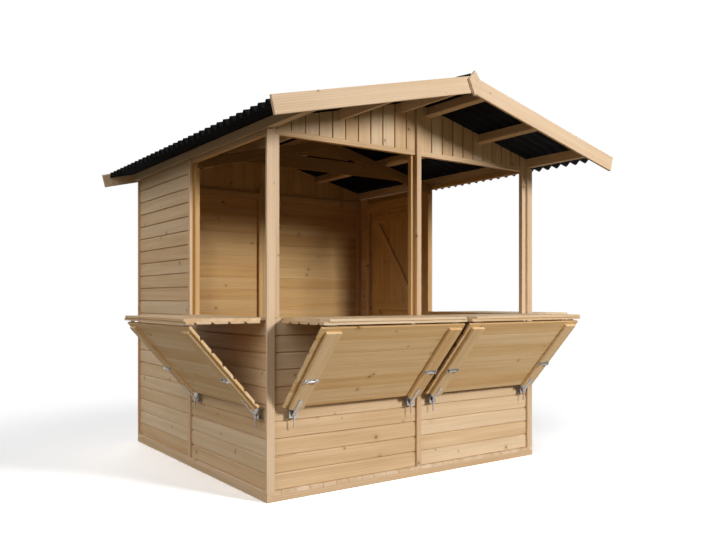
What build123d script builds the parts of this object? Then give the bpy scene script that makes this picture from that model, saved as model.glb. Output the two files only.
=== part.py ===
from build123d import *
import os
from math import acos, cos, pi, radians, sin, tan

os.makedirs("parts", exist_ok=True)

# Wooden market stall, millimetres. X runs along the front, left to right seen from the
# customers' side. The front faces -Y. Z is up and the stall stands on Z = 0.
# The origin is the middle of the base.

# ---- body ----
body_w = 2300.0            # over the front and back cover strips
body_d = 2280.0            # over the cover strips of the two side walls
bearer_h = 40.0
bearer_w = 45.0
bearer_count = 5
bearer_joint = 0.3         # gap at the butt joints of the bearers
floor_t = 22.5
strip_t = 18.0             # cover strips over the panel joints
corner_strip_w = 53.0
mid_strip_w = 45.0
front_strip_w = 42.0       # middle strip of the front
front_joint_x = 13.0       # joint of the two front panels, right of the middle
clad_t = 16.0              # cladding boards
board_cover = 102.5
low_boards = 10            # boards from the floor to the sill
frame_t = 36.0             # wall framing behind the cladding
rail_w = 58.0
reveal_t = 34.0            # posts beside an open hatch, measured from the cladding face
corner_post_w = 75.0       # front corner post, from the cladding face
mid_post_w = 95.0          # double stud at the joint of the two front panels
mid_post_x = 5.5
rear_panel_w = 1110.0      # rear panel of a side wall, from the back strips to the joint
side_post_front = 72.0     # side post in front of that joint
stud_w = 41.0
lintel_z = 2175.0
panel_joint = 2.0          # gap between two panels that meet under a strip
panel_gap = 1.0            # back wall to the gable over it
seat = 0.3                 # clearance where two timbers butt or bear

# ---- roof ----
roof_pitch = 13.75         # degrees
plate_z = 2196.4           # top of the side walls at the faces of the strips
gable_clear = 3.0          # top of the gable boards under the sheets
purlin_w = 45.0
purlin_h = 63.0
purlin_room = 0.5          # purlin to the edge of its notch in the gable
purlin_spacing = 515.5     # eave purlin to middle purlin
ridge_purlin_x = 117.5
splice_l = 215.0           # plates over the joints of the purlins
splice_h = 50.0
splice_t = 18.0
splice_y = -290.0          # front end of those plates
sheet_t = 3.0
sheet_waves = 33
wave_steps = 10            # flats in one wave of the profile
sheet_inset = 1.0          # sheet ends inside the bargeboards
sheet_wave_h = 36.0
sheet_overhang = 200.0     # sheets past the strips of the side walls
sheet_ridge_gap = 8.0      # half the gap between the two sheets at the ridge
cap_half_w = 112.0
cap_rise = 12.0
cap_t = 3.0
barge_t = 20.0
barge_h = 103.5
barge_over = 36.0          # how far a bargeboard rises above the plane over the purlins
barge_tail = 62.0          # bargeboards past the sheets
barge_mitre = 1.0
front_overhang = 512.0     # purlin ends in front of the cover strips
back_overhang = 102.0
apex_plate_w = 94.0
apex_plate_drop = 30.6     # widest point of the plate under the bargeboards' peak
apex_plate_high = 59.0
apex_plate_low = 98.0
apex_plate_t = 18.0
truss_w = 36.0
truss_rafter_h = 71.0
truss_tie_h = 98.0
truss_tie_t = 16.0
truss_tie_z = 2225.0
truss_gap = 0.2

# ---- hatches ----
hatch_corner_gap = 4.5     # front right hatch to the corner strip
hatch_gap = 0.5            # cladding of a front hatch to the middle strip
lap_right = 12.0           # cladding beyond the counter boards, seen from outside
lap_left = 34.0
counter_out = 489.0        # counter edge, from the faces of the strips
counter_top_t = 16.0
hatch_clad_t = 16.0
counter_z = 1088.5
counter_lip = 7.0          # counter boards in front of the cladding under them
counter_clad_start = 30.0  # where the cladding under a counter starts, from the strips
flap_len = 642.0
flap_in = 18.0             # flap's top edge in from the cladding under the counter
flap_foot = 46.0           # lower end of the flap, from the faces of the strips
batten_w = 100.0
batten_t = 18.0
batten_right = 20.0        # from the ends of the flap's cladding to the battens
batten_left = 34.0
batten_top_gap = 26.0
side_hatch_back = 62.5     # side hatch to the strip at the joint of the side panels
side_hatch_front = 27.0    # side hatch, from the faces of the front strips
hinge_l = 60.0
hinge_leaf = 26.0
hinge_leaf_t = 1.8
hinge_r = 3.6
hinge_inset = 42.0
bolt_plate_w = 32.0
bolt_plate_t = 2.5
bolt_rod_d = 10.0
bolt_rod_l = 92.0
bolt_sink = 1.0            # rod let into its plate
bolt_keep_w = 14.0         # keepers round the rod
bolt_keep_t = 2.0
bolt_keep_in = 8.0         # keepers in from the ends of the plate
bolt_along = 400.0         # from the flap's top edge
hasp_w = 28.0
hasp_t = 3.0
hasp_up = 82.0             # on the batten
hasp_down = 58.0           # past the end of the flap
hasp_pin_d = 6.0
hasp_pin_l = 68.0
bracket_w = 60.0           # wall brackets that hold the flaps out
bracket_h = 60.0
bracket_t = 2.5
bracket_top = 46.0         # bracket above the end of the hasp

# ---- door ----
door_post = 100.0          # hinge edge of the leaf from the joint of the side panels
door_w = 760.0
door_bottom_z = 76.0
door_top_z = 2073.0
door_gap = 6.0
door_board_t = 18.0
ledge_h = 70.0
ledge_t = 18.0
ledge_end = 40.0           # ledge ends short of the leaf's edges
mid_ledge_z = 1089.0
top_ledge_z = 1941.0
bottom_ledge_z = 227.0
brace_w = 95.0
head_h = 70.0
strap_h = 34.0
strap_t = 4.0
strap_l = 360.0
pin_d = 12.0
pin_out = 11.0             # hinge pin centre outside the cladding face
pin_clear = 0.08
pin_r = 10.0               # knuckles round the pin
knuckle_h = 18.0
knuckle_gap = 1.0
pin_leaf_l = 65.0          # leaf that is fixed to the wall, from the pin
brace_in = 6.0             # brace ends in from the ends of the ledges

# ---- derived ----
half_w = body_w / 2
half_d = body_d / 2
slope = tan(radians(roof_pitch))
pitch_cos = cos(radians(roof_pitch))
wall_z = bearer_h + floor_t
sill_z = wall_z + low_boards * board_cover
side_joint = half_d - rear_panel_w     # joint of the two panels of a side wall
door_front_y = side_joint + door_post
door_back_y = door_front_y + door_w
face_x = half_w - strip_t              # cladding face of the side walls
face_y = half_d - strip_t
back_x = face_x - clad_t               # back of that cladding
back_y = face_y - clad_t
frame_x = back_x - frame_t             # inner face of the framing
frame_y = back_y - frame_t
reveal_x = face_x - reveal_t
reveal_y = face_y - reveal_t
purlin_line = plate_z + half_w * slope     # ridge height of the plane under the purlins
sheet_line = purlin_line + purlin_h / pitch_cos
eave_purlin_x = half_w - purlin_w / 2
mid_purlin_x = eave_purlin_x - purlin_spacing
sheet_eave_x = half_w + sheet_overhang
barge_end_x = sheet_eave_x + barge_tail
sheet_len = body_d + front_overhang + back_overhang - 2 * sheet_inset


def roof_z(x, line):
    """Height of a roof plane at x, given its height at the ridge."""
    return line - abs(x) * slope


def block(x_pair, y_pair, z_pair):
    """Add one box between the given limits to the open part."""
    spot = [(pair[0] + pair[1]) / 2 for pair in (x_pair, y_pair, z_pair)]
    size = [abs(pair[1] - pair[0]) for pair in (x_pair, y_pair, z_pair)]
    with Locations(tuple(spot)):
        Box(*size)


def save(part, label):
    """Name a finished piece and write its STEP file."""
    part.label = label
    export_step(part, "parts/" + label + ".step")


def both(low, high, side):
    """A pair of X limits on the right, or mirrored to the left for side -1."""
    return (low * side, high * side)


# ================= base =================
with BuildPart() as base_bearers:
    for side in (-1, 1):
        block(both(half_w - bearer_w, half_w, side), (-half_d, half_d), (0, bearer_h))
    inner = half_w - bearer_w - bearer_joint
    for step in range(bearer_count):
        y_mid = -half_d + bearer_w / 2 + step * (body_d - bearer_w) / (bearer_count - 1)
        block((-inner, inner), (y_mid - bearer_w / 2, y_mid + bearer_w / 2), (0, bearer_h))
save(base_bearers.part, "base_bearers")

with BuildPart() as floor_deck:
    block((-half_w, half_w), (-half_d, half_d), (bearer_h, wall_z))
save(floor_deck.part, "floor_deck")

# ================= walls =================
low_z = (wall_z, sill_z)

with BuildPart() as front_wall:
    for side in (-1, 1):
        x_pair = (front_joint_x + panel_joint / 2 * side, back_x * side)
        block(x_pair, (-face_y, -back_y), low_z)
save(front_wall.part, "front_wall")

side_top = roof_z(face_x, purlin_line)
for side, name in ((-1, "left_wall_front"), (1, "right_wall_front")):
    with BuildPart() as side_wall_front:
        y_pair = (-face_y, side_joint - panel_joint / 2)
        block(both(back_x, face_x, side), y_pair, low_z)
    save(side_wall_front.part, name)

with BuildPart() as left_wall_rear:
    y_pair = (side_joint + panel_joint / 2, face_y)
    block((-face_x, -back_x), y_pair, (wall_z, side_top))
save(left_wall_rear.part, "left_wall_rear")

with BuildPart() as right_wall_rear:
    block((back_x, face_x), (door_back_y + door_gap, face_y), (wall_z, side_top))
save(right_wall_rear.part, "right_wall_rear")

with BuildPart() as right_wall_over_door:
    y_pair = (side_joint + panel_joint / 2, door_back_y + door_gap - panel_joint)
    block((back_x, face_x), y_pair, (door_top_z + door_gap, side_top))
save(right_wall_over_door.part, "right_wall_over_door")

with BuildPart() as back_wall:
    for side in (-1, 1):
        block(both(panel_joint / 2, back_x, side), (back_y, face_y), (wall_z, lintel_z - panel_gap))
save(back_wall.part, "back_wall")


def gable_panel(y_low, y_high):
    """Boarded gable in two halves, notched round the purlins."""
    with BuildPart() as gable:
        for side in (-1, 1):
            edge = back_x * side
            joint = panel_joint / 2 * side
            top = sheet_line - gable_clear
            with BuildSketch(Plane.XZ.offset(-y_low)):
                with BuildLine():
                    Polyline(
                        (joint, lintel_z),
                        (edge, lintel_z),
                        (edge, roof_z(edge, top)),
                        (joint, roof_z(joint, top)),
                        close=True,
                    )
                make_face()
            extrude(amount=-(y_high - y_low))
        for x in purlin_spots:
            with BuildSketch(Plane.XZ.offset(-y_low)):
                with Locations((x, purlin_mid_z(x))):
                    Rectangle(
                        purlin_w + 2 * purlin_room,
                        purlin_h + 2 * seat,
                        rotation=purlin_tilt(x),
                    )
            extrude(amount=-(y_high - y_low), mode=Mode.SUBTRACT)
    return gable.part


def purlin_mid_z(x):
    """Height of a purlin's centre."""
    return roof_z(x, purlin_line) + purlin_h / 2 / pitch_cos


def purlin_tilt(x):
    """Roof slope at x, in degrees about Y."""
    return -roof_pitch if x > 0 else roof_pitch


purlin_spots = []
for reach in (eave_purlin_x, mid_purlin_x, ridge_purlin_x):
    purlin_spots.extend((-reach, reach))

save(gable_panel(-face_y, -back_y), "front_gable")
save(gable_panel(back_y, face_y), "back_gable")

# ================= posts and rails =================
corner_in = face_x - corner_post_w
with BuildPart() as corner_posts:
    for side in (-1, 1):
        block(both(corner_in, back_x, side), (-back_y, -frame_y), low_z)
        block(both(corner_in, back_x, side), (-back_y, -reveal_y), (wall_z, plate_z))
        block(both(corner_in, face_x, side), (-face_y, -reveal_y), (sill_z, lintel_z))
save(corner_posts.part, "front_corner_posts")

with BuildPart() as front_mid_post:
    x_pair = (mid_post_x - mid_post_w / 2, mid_post_x + mid_post_w / 2)
    block(x_pair, (-back_y, -frame_y), low_z)
    block(x_pair, (-back_y, -reveal_y), (wall_z, lintel_z + rail_w))
    block(x_pair, (-face_y, -reveal_y), (sill_z, lintel_z))
save(front_mid_post.part, "front_mid_post")

post_y = (side_joint - side_post_front, side_joint)
with BuildPart() as side_mid_posts:
    for side in (-1, 1):
        block(both(frame_x, back_x, side), post_y, low_z)
        block(both(reveal_x, back_x, side), post_y, (wall_z, plate_z))
        block(both(reveal_x, face_x, side), post_y, (sill_z, lintel_z))
save(side_mid_posts.part, "side_mid_posts")

with BuildPart() as back_studs:
    for side in (-1, 1):
        x_pair = both(back_x - stud_w, back_x, side)
        block(x_pair, (frame_y, back_y), (wall_z, plate_z))
    block((-stud_w, stud_w), (frame_y, back_y), (wall_z, lintel_z + rail_w))
save(back_studs.part, "back_studs")

rear_bay = (side_joint + stud_w + seat, back_y - frame_t - seat)

def front_bay(side):
    """X limits between the middle post of the front and one corner post."""
    return (mid_post_x + (mid_post_w / 2 + seat) * side, (corner_in - seat) * side)


with BuildPart() as wall_rails:
    for side in (-1, 1):
        block(front_bay(side), (-back_y, -frame_y), (sill_z - rail_w, sill_z))
        y_pair = (-frame_y + seat, post_y[0] - seat)
        block(both(frame_x, back_x, side), y_pair, (sill_z - rail_w, sill_z))
    z_pair = (wall_z, wall_z + rail_w)
    for side in (-1, 1):
        block(front_bay(side), (-back_y, -frame_y), z_pair)
        block(both(frame_x, back_x, side), (-frame_y + seat, post_y[0] - seat), z_pair)
        block(both(stud_w + seat, back_x - stud_w - seat, side), (frame_y, back_y), z_pair)
    block((-back_x, -frame_x), rear_bay, z_pair)
save(wall_rails.part, "wall_rails")

with BuildPart() as top_rails:
    for side in (-1, 1):
        block(front_bay(side), (-back_y, -reveal_y), (lintel_z, lintel_z + rail_w))
        x_pair = both(stud_w + seat, back_x - stud_w - seat, side)
        block(x_pair, (frame_y, back_y), (lintel_z - rail_w, lintel_z))
    for side in (-1, 1):
        y_pair = (-face_y, side_joint - panel_joint / 2)
        block(both(back_x, face_x, side), y_pair, (lintel_z, side_top))
        y_pair = (-reveal_y + seat, post_y[0] - seat)
        block(both(reveal_x, back_x, side), y_pair, (lintel_z, plate_z))
save(top_rails.part, "top_rails")

with BuildPart() as rear_side_frame:
    y_pair = (side_joint + seat, side_joint + stud_w)
    block((-back_x, -frame_x), y_pair, (wall_z, plate_z))
    block((-back_x, -frame_x), rear_bay, (plate_z - rail_w, plate_z))
save(rear_side_frame.part, "left_rear_frame")

with BuildPart() as door_frame:
    jamb_z = (wall_z, plate_z)
    head_z = door_top_z + door_gap
    block((frame_x, back_x), (side_joint + seat, door_front_y - door_gap), jamb_z)
    latch_y = (door_back_y + door_gap, door_back_y + door_gap + stud_w)
    block((frame_x, back_x), latch_y, jamb_z)
    y_pair = (door_front_y - door_gap + seat, latch_y[0] - seat)
    block((frame_x, back_x), y_pair, (head_z, head_z + head_h))
save(door_frame.part, "door_frame")

with BuildPart() as right_wall_beside_door:
    y_pair = (side_joint + panel_joint / 2, door_front_y - door_gap)
    block((back_x, face_x), y_pair, (wall_z, door_top_z + door_gap - panel_joint))
save(right_wall_beside_door.part, "right_wall_beside_door")

# ================= cover strips =================
with BuildPart() as cover_strips:
    for y_pair, mid_x, mid_w in (
        ((-half_d, -face_y), front_joint_x, front_strip_w),
        ((face_y, half_d), 0, mid_strip_w),
    ):
        for side in (-1, 1):
            block(both(half_w - corner_strip_w, half_w, side), y_pair, (wall_z, plate_z))
        strip_top = roof_z(mid_x + mid_w / 2, sheet_line) - gable_clear
        block((mid_x - mid_w / 2, mid_x + mid_w / 2), y_pair, (wall_z, strip_top))
    y_pair = (side_joint - mid_strip_w / 2, side_joint + mid_strip_w / 2)
    for side in (-1, 1):
        block(both(face_x, half_w, side), y_pair, (wall_z, plate_z))
save(cover_strips.part, "cover_strips")

# ================= roof =================
roof_front = -half_d - front_overhang
roof_back = half_d + back_overhang

with BuildPart() as purlins:
    for x in purlin_spots:
        with BuildSketch(Plane.XZ.offset(-roof_front)):
            with Locations((x, purlin_mid_z(x))):
                Rectangle(purlin_w, purlin_h, rotation=purlin_tilt(x))
        extrude(amount=-(roof_back - roof_front))
        reach = (purlin_w + splice_t) / 2
        plate_x = x - reach * pitch_cos * (1 if x > 0 else -1)
        plate_mid_z = purlin_mid_z(x) + reach * sin(radians(roof_pitch))
        with BuildSketch(Plane.XZ.offset(-splice_y)):
            with Locations((plate_x, plate_mid_z)):
                Rectangle(splice_t, splice_h, rotation=purlin_tilt(x))
        extrude(amount=-splice_l)
save(purlins.part, "purlins")

truss_y = side_joint - side_post_front / 2
rafter_line = purlin_line - truss_gap
with BuildPart() as truss_rafters:
    for side in (-1, 1):
        with BuildSketch(Plane.XZ.offset(-(truss_y - truss_w / 2))):
            with BuildLine():
                under = rafter_line - truss_rafter_h / pitch_cos
                head = truss_gap * side
                foot = (reveal_x - truss_gap) * side
                Polyline(
                    (head, roof_z(head, rafter_line)),
                    (foot, roof_z(foot, rafter_line)),
                    (foot, roof_z(foot, under)),
                    (head, roof_z(head, under)),
                    close=True,
                )
            make_face()
        extrude(amount=-truss_w)
save(truss_rafters.part, "truss_rafters")

with BuildPart() as truss_tie:
    tie_y = truss_y + truss_w / 2
    low_x = (rafter_line - truss_tie_z) / slope
    high_x = (rafter_line - truss_tie_z - truss_tie_h) / slope
    with BuildSketch(Plane.XZ.offset(-tie_y)):
        with BuildLine():
            Polyline(
                (-low_x, truss_tie_z),
                (low_x, truss_tie_z),
                (high_x, truss_tie_z + truss_tie_h),
                (-high_x, truss_tie_z + truss_tie_h),
                close=True,
            )
        make_face()
    extrude(amount=-truss_tie_t)
save(truss_tie.part, "truss_tie")


def wave_points(level):
    """Points of the corrugation along Y, raised by level."""
    points = []
    for step in range(sheet_waves * wave_steps + 1):
        along = sheet_len * step / (sheet_waves * wave_steps)
        turn = 2 * pi * step / wave_steps
        points.append((along, level + sheet_wave_h / 2 * (1 - cos(turn))))
    return points


for side, name in ((-1, "roof_sheet_left"), (1, "roof_sheet_right")):
    down = (side * pitch_cos, 0, -sin(radians(roof_pitch)))
    start = (side * sheet_ridge_gap, roof_front + sheet_inset, roof_z(sheet_ridge_gap, sheet_line))
    sheet_plane = Plane(origin=start, x_dir=(0, 1, 0), z_dir=down)
    sign = 1 if sheet_plane.y_dir.Z > 0 else -1
    with BuildPart() as roof_sheet:
        with BuildSketch(sheet_plane):
            with BuildLine():
                lower = [(a, sign * b) for a, b in wave_points(seat)]
                upper = [(a, sign * b) for a, b in wave_points(seat + sheet_t)]
                Polyline(*lower, *reversed(upper), close=True)
            make_face()
        extrude(amount=(sheet_eave_x - sheet_ridge_gap) / pitch_cos)
    save(roof_sheet.part, name)

crest_line = sheet_line + (seat + sheet_wave_h + sheet_t) / pitch_cos
with BuildPart() as ridge_cap:
    with BuildSketch(Plane.XZ.offset(-(roof_front + sheet_inset))):
        with BuildLine():
            wing_z = roof_z(cap_half_w, crest_line + seat)
            peak_z = crest_line + cap_rise
            Polyline(
                (-cap_half_w, wing_z),
                (0, peak_z),
                (cap_half_w, wing_z),
                (cap_half_w, wing_z + cap_t),
                (0, peak_z + cap_t),
                (-cap_half_w, wing_z + cap_t),
                close=True,
            )
        make_face()
    extrude(amount=-sheet_len)
save(ridge_cap.part, "ridge_cap")

barge_line = sheet_line + barge_over
for y_low, name in (
    (roof_front - barge_t, "front_bargeboards"),
    (roof_back, "back_bargeboards"),
):
    with BuildPart() as bargeboards:
        for side in (-1, 1):
            head = barge_mitre / 2 * side
            tip = barge_end_x * side
            foot = (barge_end_x - barge_h * sin(radians(roof_pitch))) * side
            foot_z = roof_z(tip, barge_line) - barge_h * pitch_cos
            with BuildSketch(Plane.XZ.offset(-y_low)):
                with BuildLine():
                    Polyline(
                        (head, roof_z(head, barge_line)),
                        (tip, roof_z(tip, barge_line)),
                        (foot, foot_z),
                        (head, roof_z(head, barge_line - barge_h / pitch_cos)),
                        close=True,
                    )
                make_face()
            extrude(amount=-barge_t)
    save(bargeboards.part, name)

apex_plate_z = barge_line - apex_plate_drop
with BuildPart() as apex_plates:
    for y_low in (roof_front - barge_t - apex_plate_t, roof_back + barge_t):
        with BuildSketch(Plane.XZ.offset(-y_low)):
            with BuildLine():
                Polyline(
                    (0, apex_plate_z - apex_plate_low),
                    (apex_plate_w / 2, apex_plate_z),
                    (0, apex_plate_z + apex_plate_high),
                    (-apex_plate_w / 2, apex_plate_z),
                    close=True,
                )
            make_face()
        extrude(amount=-apex_plate_t)
save(apex_plates.part, "apex_plates")

# ================= hatches =================
# Each hatch has a plane whose X points out of the wall, Y points up and Z runs along
# the wall, from the right end to the left end of the hatch as the customers see it. Its
# origin is on the faces of the cover strips at the right end.
left_end = front_joint_x - front_strip_w / 2 - hatch_gap
right_end = half_w - corner_strip_w - hatch_corner_gap
front_len = right_end - front_joint_x - front_strip_w / 2 - hatch_gap
side_end = -half_d + side_hatch_front
side_rear = side_joint - mid_strip_w / 2 - side_hatch_back
side_len = side_rear - side_end
hatches = {
    "front_left": (Plane((left_end, -half_d, 0), (0, -1, 0), (-1, 0, 0)), front_len),
    "front_right": (Plane((right_end, -half_d, 0), (0, -1, 0), (-1, 0, 0)), front_len),
    "left": (Plane((-half_w, side_end, 0), (-1, 0, 0), (0, 1, 0)), side_len),
    "right": (Plane((half_w, side_rear, 0), (1, 0, 0), (0, -1, 0)), side_len),
}
board_z = counter_z - counter_top_t
clad_z = board_z - hatch_clad_t
flap_reach = counter_out - flap_in
fall = acos((flap_reach - flap_foot) / flap_len)
hinge_z = clad_z - seat - hinge_r
flap_top = (flap_reach, hinge_z - hinge_r - seat - hatch_clad_t * cos(fall))


def flap_point(along, out):
    """A point on the flap's section: along from its top edge, out from its boards."""
    reach = flap_top[0] - along * cos(fall) + out * sin(fall)
    height = flap_top[1] - along * sin(fall) - out * cos(fall)
    return (reach, height)


def slab(face, start, length, corners):
    """Add one prism to the open part: a section on a hatch's plane, run along the wall."""
    with BuildSketch(face.offset(start)) as section:
        with BuildLine():
            Polyline(*corners, close=True)
        make_face()
    extrude(section.sketch, amount=length)


def flap_slab(face, start, length, along, out):
    """Add a board that lies on the flap, between two distances along and out."""
    corners = [
        flap_point(along[0], out[0]),
        flap_point(along[1], out[0]),
        flap_point(along[1], out[1]),
        flap_point(along[0], out[1]),
    ]
    slab(face, start, length, corners)


def rod(face, start, length, centre, radius):
    """Add a round bar that runs along the wall, centred on a point of the section."""
    with BuildSketch(face.offset(start)) as section:
        with Locations(centre):
            Circle(radius)
    extrude(section.sketch, amount=length)


def rectangle(reach, height):
    """The four corners of an upright rectangle on a hatch's plane."""
    return [
        (reach[0], height[0]),
        (reach[1], height[0]),
        (reach[1], height[1]),
        (reach[0], height[1]),
    ]



def batten_starts(length):
    """Where the two battens of a flap start, from its right end."""
    return (batten_right, length - batten_left - batten_w)


for key, (face, length) in hatches.items():
    with BuildPart() as counter:
        reach = (seat - strip_t, counter_out + counter_lip)
        slab(face, lap_right, length - lap_right - lap_left, rectangle(reach, (board_z, counter_z)))
        reach = (counter_clad_start, counter_out)
        slab(face, 0, length, rectangle(reach, (clad_z, board_z)))
    save(counter.part, key + "_counter")
    with BuildPart() as flap:
        flap_slab(face, 0, length, (0, flap_len), (-hatch_clad_t, 0))
        for start in batten_starts(length):
            flap_slab(face, start, batten_w, (batten_top_gap, flap_len), (0, batten_t))
    save(flap.part, key + "_flap")

hidden = -hatch_clad_t - seat
with BuildPart() as hatch_hinges:
    for face, length in hatches.values():
        for start in (hinge_inset, length - hinge_inset - hinge_l):
            axis_x = flap_point(0, hidden)[0]
            rod(face, start, hinge_l, (axis_x, hinge_z), hinge_r)
            top = (hinge_z + hinge_r - hinge_leaf_t, hinge_z + hinge_r)
            slab(face, start, hinge_l, rectangle((axis_x - hinge_leaf, axis_x), top))
            flap_slab(face, start, hinge_l, (0, hinge_leaf), (hidden - hinge_leaf_t, hidden))
save(hatch_hinges.part, "hatch_hinges")

bolt_pair = (bolt_along - bolt_plate_w / 2, bolt_along + bolt_plate_w / 2)
plate_out = batten_t + bolt_plate_t
rod_out = plate_out + bolt_rod_d / 2 - bolt_sink
rod_pair = (bolt_along - bolt_rod_d / 2, bolt_along + bolt_rod_d / 2)
keep_pair = (rod_pair[0] - bolt_keep_t, rod_pair[1] + bolt_keep_t)
with BuildPart() as hatch_bolts:
    for face, length in hatches.values():
        for start in batten_starts(length):
            flap_slab(face, start, batten_w, bolt_pair, (batten_t, plate_out))
            centre = flap_point(bolt_along, rod_out)
            rod(face, start + (batten_w - bolt_rod_l) / 2, bolt_rod_l, centre, bolt_rod_d / 2)
            keep_out = (plate_out, plate_out + bolt_rod_d + bolt_keep_t)
            keep_end = batten_w - bolt_keep_in - bolt_keep_w
            for keep in (start + bolt_keep_in, start + keep_end):
                flap_slab(face, keep, bolt_keep_w, keep_pair, keep_out)
save(hatch_bolts.part, "hatch_bolts")

hasp_end = flap_len + hasp_down
hasp_tip = flap_point(hasp_end, batten_t)
bracket_front = hasp_tip[0] - seat
bracket_z = hasp_tip[1] + bracket_top
with BuildPart() as hatch_hasps:
    for face, length in hatches.values():
        for start in batten_starts(length):
            mid = start + batten_w / 2
            along = (flap_len - hasp_up, hasp_end)
            flap_slab(face, mid - hasp_w / 2, hasp_w, along, (batten_t, batten_t + hasp_t))
            pin_z = (hasp_tip[1] - hasp_pin_l, hasp_tip[1])
            reach = (hasp_tip[0], hasp_tip[0] + hasp_pin_d)
            slab(face, mid - hasp_pin_d / 2, hasp_pin_d, rectangle(reach, pin_z))
save(hatch_hasps.part, "hatch_hasps")

with BuildPart() as hatch_brackets:
    for face, length in hatches.values():
        for start in batten_starts(length):
            begin = start + (batten_w - bracket_w) / 2
            foot = seat - strip_t
            low = bracket_z - bracket_h
            front = (bracket_front - bracket_t, bracket_front)
            slab(face, begin, bracket_w, rectangle(front, (low, bracket_z)))
            for flange in ((low, low + bracket_t), (bracket_z - bracket_t, bracket_z)):
                slab(face, begin, bracket_w, rectangle((foot, bracket_front), flange))
save(hatch_brackets.part, "hatch_brackets")

# ================= door =================
with BuildPart() as door:
    y_pair = (door_front_y, door_back_y)
    block((back_x, face_x), y_pair, (door_bottom_z, door_top_z))
    ledge_y = (door_front_y + ledge_end, door_back_y - ledge_end)
    ledge_x = (back_x - ledge_t, back_x)
    for low in (bottom_ledge_z, mid_ledge_z, top_ledge_z):
        block(ledge_x, ledge_y, (low, low + ledge_h))
    for low, high in (
        (mid_ledge_z + ledge_h, top_ledge_z),
        (bottom_ledge_z + ledge_h, mid_ledge_z),
    ):
        with BuildSketch(Plane.YZ.offset(back_x - ledge_t)):
            with BuildLine():
                Polyline(
                    (ledge_y[0] + brace_in, low),
                    (ledge_y[0] + brace_in + brace_w, low),
                    (ledge_y[1] - brace_in, high),
                    (ledge_y[1] - brace_in - brace_w, high),
                    close=True,
                )
            make_face()
        extrude(amount=ledge_t)
save(door.part, "door")

pin = (face_x + pin_out, door_front_y - door_gap / 2)
strap_spots = (bottom_ledge_z + ledge_h / 2, top_ledge_z + ledge_h / 2)
with BuildPart() as door_straps:
    for z in strap_spots:
        z_pair = (z - strap_h / 2, z + strap_h / 2)
        block((face_x, face_x + strap_t), (pin[1], door_front_y + strap_l), z_pair)
        with Locations((pin[0], pin[1], z)):
            Cylinder(radius=pin_r, height=strap_h)
            Cylinder(radius=pin_d / 2, height=strap_h, mode=Mode.SUBTRACT)
save(door_straps.part, "door_straps")

with BuildPart() as hinge_pins:
    for z in strap_spots:
        reach = strap_h / 2 + knuckle_gap
        with Locations((pin[0], pin[1], z - reach - knuckle_h / 2)):
            Cylinder(radius=pin_r, height=knuckle_h)
        with Locations((pin[0], pin[1], z)):
            Cylinder(radius=pin_d / 2 - pin_clear, height=2 * reach)
        with Locations((pin[0], pin[1], z + reach + knuckle_h / 2)):
            Cylinder(radius=pin_r, height=knuckle_h)
        z_pair = (z - reach - knuckle_h, z + reach + knuckle_h)
        block((face_x, face_x + strap_t), (pin[1] - pin_leaf_l, pin[1] - pin_r - knuckle_gap), z_pair)
        for low in (z - reach - knuckle_h, z + reach):
            y_pair = (pin[1] - pin_r - knuckle_gap, pin[1])
            block((face_x, face_x + strap_t), y_pair, (low, low + knuckle_h))
save(hinge_pins.part, "door_hinge_pins")
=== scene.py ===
"""Looks, stage and camera of the wooden market stall. Metres; the front faces -Y, Z is up."""

import math
import random

import bmesh
import bpy
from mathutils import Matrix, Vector


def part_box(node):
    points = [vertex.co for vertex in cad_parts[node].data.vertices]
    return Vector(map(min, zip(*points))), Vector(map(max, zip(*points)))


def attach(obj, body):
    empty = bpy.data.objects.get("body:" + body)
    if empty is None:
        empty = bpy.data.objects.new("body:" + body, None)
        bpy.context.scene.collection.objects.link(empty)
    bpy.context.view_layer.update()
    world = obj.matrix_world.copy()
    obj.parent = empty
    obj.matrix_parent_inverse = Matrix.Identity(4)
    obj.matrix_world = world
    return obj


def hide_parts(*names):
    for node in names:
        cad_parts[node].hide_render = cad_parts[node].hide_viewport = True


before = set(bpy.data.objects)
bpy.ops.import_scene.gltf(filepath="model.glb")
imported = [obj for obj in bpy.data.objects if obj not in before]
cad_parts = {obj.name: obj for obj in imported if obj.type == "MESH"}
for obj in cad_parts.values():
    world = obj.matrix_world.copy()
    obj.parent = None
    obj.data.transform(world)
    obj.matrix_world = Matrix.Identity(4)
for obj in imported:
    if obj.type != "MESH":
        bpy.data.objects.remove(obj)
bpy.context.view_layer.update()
rng = random.Random(20)

X, Y, Z = Vector((1, 0, 0)), Vector((0, 1, 0)), Vector((0, 0, 1))

# ---- shiplap boards ----
COVER = 0.1025  # height of a wall board
LAP = 0.013  # coved top of a board
COVE = 0.008  # depth of that cove
COVE_RUN = 0.7  # share of the top that the cove's curve takes
NOTCH = 0.003  # step behind the cove
GROOVE = 0.0042  # shadow gap between two boards
TONGUE = 0.0035  # how far that gap runs in from the back
HATCH_LAP, HATCH_COVE = 0.022, 0.0105  # the same on the boards of the hatches
HATCH_GROOVE = 0.001  # their gap on the flat side
ARRIS, BEVEL = 0.0012, 0.001  # eased edges on the face and on the back
HAIR = 0.0004  # half a hairline joint
SLIVER = 0.004  # a board narrower than this is left out
DRIP = 0.0035  # gap under the lowest board
PANEL_GAP = 0.001  # half the gap between two clad panels
SIDE_DROP = 0.003  # courses of the side walls start this much lower
GABLE_COVER = 0.099
GABLE_START = 0.052  # part of the first upright board that is cut away
GABLE_RAIL = 0.033  # flat rail under the upright boards
GABLE_CLEAR = 0.003  # gable boards under the sheets

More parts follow.
